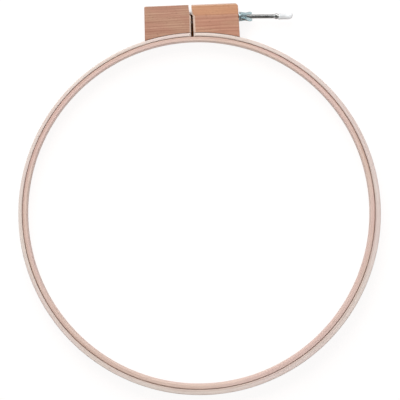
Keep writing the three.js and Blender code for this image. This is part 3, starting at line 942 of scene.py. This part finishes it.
def block_wood(name, early, late, warm, top_shading, centre, seed, warm_from):
    """Sawn reddish wood, its grain along X: rings about a far centre, fibres, pores and flecks.

    It is warmer above warm_from, raw and pale on the edges cut along the slit, and has painted
    light and shade on its top."""
    s = Surface(name)
    at_x, at_y, _ = s.parts(s.place())
    place = s.moved(s.place(), (seed, 0, 0))
    _, y, z = s.parts(place)
    bend = s.noise(place, (0.012, 0.02, 0.02), 2, 0.5)
    up = s.maths("ADD", s.maths("SUBTRACT", y, centre[0]), s.times(bend, 8.0))
    deep = s.maths("SUBTRACT", z, centre[1])
    from_centre = s.maths("SQRT", s.maths("ADD", s.times(up, up), s.times(deep, deep)))
    rings = s.maths("FRACT", s.maths("DIVIDE", from_centre, 2.3))
    late_wood = s.times(s.between(rings, 0.3, 0.9), s.between(rings, 0.9, 1.0, 1.0, 0.0))
    fibres = s.noise(place, (0.035, 2.4, 2.4), 6, 0.65)
    streaks = s.noise(place, (0.012, 0.9, 0.9), 4, 0.6)
    pores = s.noise(place, (0.3, 4.6, 4.6), 2, 0.5)
    cast = s.noise(place, (0.03, 0.09, 0.06), 2, 0.5)
    colour = s.mix(s.between(streaks, 0.3, 0.7), early, late)
    colour = s.tint(s.between(cast, 0.4, 0.62, 0.0, 0.55), colour, "fae9ee")
    colour = s.tint(s.times(late_wood, 0.35), colour, "cfa893")
    colour = s.tint(s.between(fibres, 0.45, 0.75, 0.0, 0.45), colour, "d2b1a2")
    height = s.maths("ADD", at_y, s.times(streaks, 3.0))
    in_warm = s.between(height, warm_from, warm_from + 3, 0.0, 0.8)
    colour = s.mix(in_warm, colour, s.mix(0.65, colour, warm))
    colour = s.mix(s.between(pores, 0.64, 0.71, 0.0, 0.55), colour, "7b4c36")
    nx, ny, nz = s.parts(s.add("ShaderNodeTexCoord", {}, "Normal"))
    side_on = s.maths("ABSOLUTE", nx)
    colour = s.tint(s.times(s.between(side_on, 0.8, 0.97), 0.6), colour, "c9a890")
    near_slit = s.between(s.maths("ABSOLUTE", at_x), 8.0, 9.0, 1.0, 0.0)
    sloping = s.times(s.between(side_on, 0.5, 0.62), s.between(nz, 0.5, 0.62))
    raw = s.mix(s.between(fibres, 0.35, 0.65), "f3dccb", "e8cdb9")
    colour = s.mix(s.times(s.times(sloping, near_slit), 0.85), colour, raw)
    # Painted light and shade: faces turned towards +Y, the block's top and its rounded edge, take a
    # greyish tone
    top_shading_share = s.times(s.between(ny, 0.15, 0.75), s.between(fibres, 0.2, 0.6, 0.9, 0.6))
    s.connect(s.mix(top_shading_share, colour, top_shading), "Base Color")
    s.connect(s.between(fibres, 0.3, 0.7, 0.68, 0.52), "Roughness")
    relief = s.bump(s.noise(place, (0.8, 0.8, 0.35), 3, 0.6), 0.05)
    relief = s.bump(fibres, 0.08, relief)
    s.connect(s.bump(s.between(pores, 0.71, 0.63), 0.1, relief), "Normal")
    return s.material


def dried_glue():
    s = Surface("dried_glue", Roughness=0.4)
    lumps = s.noise(s.place(), (0.5, 0.5, 0.5), 3)
    s.connect(s.mix(lumps, "5a3420", "8a5a3c"), "Base Color")
    s.connect(s.bump(lumps, 0.1), "Normal")
    return s.material


def thread_steel():
    """Dull plated steel: crests polished bright, grime in the thread's roots, and painted shade
    where it crosses the slit.
    """
    s = Surface("thread_steel", Metallic=1.0)
    place = s.place()
    crest = s.between(s.attribute("relief", "Fac"), 0.15, 0.9)
    specks = s.noise(place, (2.5, 2.5, 2.5), 5, 0.65)
    cloud = s.noise(place, (0.25, 0.6, 0.6), 3)
    colour = s.mix(s.between(specks, 0.3, 0.7), "a7aaac", "c9cbcc")
    colour = s.mix(s.between(cloud, 0.4, 0.65, 0.0, 0.4), colour, "8f8c86")
    colour = s.mix(crest, "6b6863", colour)
    # Painted shade: dark brown and rough where the bolt crosses the deep, narrow slit
    slit_shade = s.between(s.maths("ABSOLUTE", s.parts(place)[0]), 1.0, 2.2, 1.0, 0.0)
    s.connect(s.mix(slit_shade, colour, "6a4630"), "Base Color")
    s.connect(s.maths("MAXIMUM", s.between(specks, 0.3, 0.75, 0.16, 0.3), slit_shade), "Roughness")
    s.connect(s.bump(specks, 0.012), "Normal")
    return s.material


def zinc():
    """Bright bluish zinc plating over a pressed surface, with painted shade in its hollows."""
    s = Surface("zinc_plating", Metallic=1.0)
    place = s.place()
    cloud = s.noise(place, (0.35, 0.35, 0.35), 4)
    spangle = s.noise(place, (2.2, 2.2, 2.2), 4, 0.6)
    colour = s.mix(s.between(cloud, 0.3, 0.7), "9cb1b6", "b2c6ca")
    colour = s.mix(s.between(spangle, 0.55, 0.75, 0.0, 0.5), colour, "6f878c")
    # Painted shade: the plating darkens where little is open around it, between wings, hub and
    # washer
    nook_shade = s.between(s.open_to(4, 16), 0.35, 0.85, 0.6, 0.0)
    s.connect(s.tint(nook_shade, colour, "66777b"), "Base Color")
    s.connect(s.between(spangle, 0.3, 0.7, 0.12, 0.26), "Roughness")
    s.connect(s.bump(spangle, 0.012), "Normal")
    return s.material


def brad_steel():
    s = Surface("brad_steel", Metallic=1.0)
    specks = s.noise(s.place(), (1.5, 4.0, 4.0), 4)
    s.connect(s.mix(specks, "7d7c79", "aaa9a5"), "Base Color")
    s.connect(s.between(specks, 0.3, 0.7, 0.28, 0.42), "Roughness")
    s.connect(s.bump(specks, 0.02), "Normal")
    return s.material


def soft_white():
    """Soft white plastic: a faint bloom, small dents and dust, light carried under its skin."""
    skin = {"Subsurface_Weight": 0.45, "Subsurface_Radius": (1, 1, 1), "Subsurface_Scale": 0.003}
    s = Surface("soft_white", **skin)
    place = s.place()
    bloom = s.noise(place, (0.3, 0.6, 0.6), 3)
    dust = s.noise(place, (3.0, 3.0, 3.0), 3)
    colour = s.mix(s.between(bloom, 0.35, 0.65), "f7f7f6", "eff0f1")
    s.connect(s.mix(s.between(dust, 0.66, 0.72, 0.0, 0.4), colour, "cfcfcd"), "Base Color")
    s.connect(s.between(bloom, 0.3, 0.7, 0.34, 0.5), "Roughness")
    s.connect(s.bump(s.noise(place, (0.9, 0.9, 0.9), 4), 0.06), "Normal")
    return s.material


# Studio


CAMERA_HEIGHT = 2.45  # above the hoop's front
HALF_VIEW = 0.20154  # what the frame shows each way, at the hoop's front
IMAGE_TURN = -2.36  # the hoop stands turned in the photograph
CAMERA_XY = (0.00100, -0.00014)
FLOOR_HALF = 6.0
FLOOR_DROP = 0.02 * MM
FLOOR_LIT = 0.18  # share of the floor's brightness that shows lamps and shadows
FLOOR_GLOW = 0.87
FLOOR_REACH = 40  # millimetres within which things darken it
FLOOR_OPENS = (0.08, 0.1)  # how open it is where it starts to glow, and where it glows in full
IN_GAPS = (0.30, 0.10, 0.03, 1)  # painted shade of the floor deep in gaps, brown as if lit only by light off the wood
WORLD_LIGHT = (0.34, 0.35, 0.36, 1)
CEILING_FROM, CEILING_TO = 0.35, 0.8  # upwards, where 1 is the zenith
CEILING = 0.12  # what reflections see straight above, where 1 is white


def shown_rays(tree):
    """1 for rays that show the background: the camera's, reflections and through glass."""
    names = ("Is Camera Ray", "Is Glossy Ray", "Is Transmission Ray")
    camera_ray, glossy, through = [tree.add("ShaderNodeLightPath", {}, name) for name in names]
    return tree.maths("MAXIMUM", tree.maths("MAXIMUM", camera_ray, glossy), through)


def floor():
    """White floor. To the eye it glows white where it is open, and less under and between things,
    where this paints shade.
    """
    plane = bpy.data.meshes.new("floor")
    corners = [(-1, -1), (1, -1), (1, 1), (-1, 1)]
    points = [(FLOOR_HALF * x, FLOOR_HALF * y, -FLOOR_DROP) for x, y in corners]
    plane.from_pydata(points, [], [(0, 1, 2, 3)])
    obj = bpy.data.objects.new("floor", plane)
    bpy.context.scene.collection.objects.link(obj)
    material = bpy.data.materials.new("floor_white")
    t = Tree(material)
    t.tree.nodes.clear()
    share = t.between(t.open_to(FLOOR_REACH, 64), *FLOOR_OPENS, 0.0, FLOOR_GLOW)
    tone = t.mix(share, IN_GAPS, (FLOOR_LIT, FLOOR_LIT, FLOOR_LIT, 1))
    lit = t.add("ShaderNodeBsdfDiffuse", {"Color": tone})
    glow = t.add("ShaderNodeEmission", {"Strength": share})
    seen = t.add("ShaderNodeAddShader", {0: lit, 1: glow})
    bounce = t.add("ShaderNodeBsdfDiffuse", {"Color": (0.8, 0.8, 0.8, 1)})
    chosen = t.add("ShaderNodeMixShader", {0: shown_rays(t), 1: bounce, 2: seen})
    t.add("ShaderNodeOutputMaterial", {"Surface": chosen})
    plane.materials.append(material)


def world():
    """Dim and grey as a light, white as a background. Reflections see it darken to the zenith."""
    made = bpy.data.worlds.new("studio")
    bpy.context.scene.world = made
    t = Tree(made)
    t.tree.nodes.clear()
    upwards = t.parts(t.add("ShaderNodeTexCoord", {}, "Generated"))[2]
    ceiling = t.between(upwards, CEILING_FROM, CEILING_TO, 1.0, CEILING)
    strength = t.maths("MAXIMUM", ceiling, t.add("ShaderNodeLightPath", {}, "Is Camera Ray"))
    shown = t.add("ShaderNodeBackground", {"Color": (1, 1, 1, 1), "Strength": strength})
    light = t.add("ShaderNodeBackground", {"Color": WORLD_LIGHT})
    chosen = t.add("ShaderNodeMixShader", {0: shown_rays(t), 1: light, 2: shown})
    t.add("ShaderNodeOutputWorld", {"Surface": chosen})


def lamp(name, place, size, watts):
    """A square lamp that shines on the hoop's centre."""
    data = bpy.data.lights.new(name, "AREA")
    data.size = size
    data.energy = watts
    obj = bpy.data.objects.new(name, data)
    obj.location = place
    obj.rotation_euler = Vector(place).to_track_quat("Z", "Y").to_euler()
    obj.visible_camera = False
    bpy.context.scene.collection.objects.link(obj)


def camera():
    """Straight above, as in the photograph."""
    data = bpy.data.cameras.new("camera")
    data.sensor_width = 36
    data.lens = data.sensor_width / 2 * CAMERA_HEIGHT / HALF_VIEW
    data.clip_end = 50
    obj = bpy.data.objects.new("camera", data)
    obj.location = (*CAMERA_XY, RING_DEPTH * MM + CAMERA_HEIGHT)
    obj.rotation_euler = (0, 0, math.radians(IMAGE_TURN))
    bpy.context.scene.collection.objects.link(obj)
    bpy.context.scene.camera = obj


camera()
world()
floor()
lamp("window", (-0.3, 1.35, 1.5), size=1.5, watts=33)
lamp("fill", (0.4, -0.9, 1.9), size=1.8, watts=6)

inner_ring(ring_wood("inner_ring_wood", "e9d0c2", "d8b8a8", "e2c1b8", seed=900))
outer_ring(ring_wood("outer_ring_wood", "ecdfd6", "dfcbbf", "e5d0c9", seed=0))
left_wood = block_wood("left_block_wood", early="c79c82", late="b3866c", warm="c9926a",
                       top_shading="b39a85", centre=(-90, -60), seed=0, warm_from=400)
right_wood = block_wood("right_block_wood", early="cf9f83", late="b9886c", warm="d69a6c",
                        top_shading="c4b2a4", centre=(320, -150), seed=300, warm_from=186)
block(-1, left_wood)
block(1, right_wood)
glue_material = dried_glue()
glue(-1, glue_material)
glue(1, glue_material)
carriage_bolt(thread_steel())
zinc_material = zinc()
washer(zinc_material)
wing_nut(zinc_material)
end_cap(soft_white())
brads(brad_steel())

bpy.context.scene.view_settings.view_transform = "Standard"
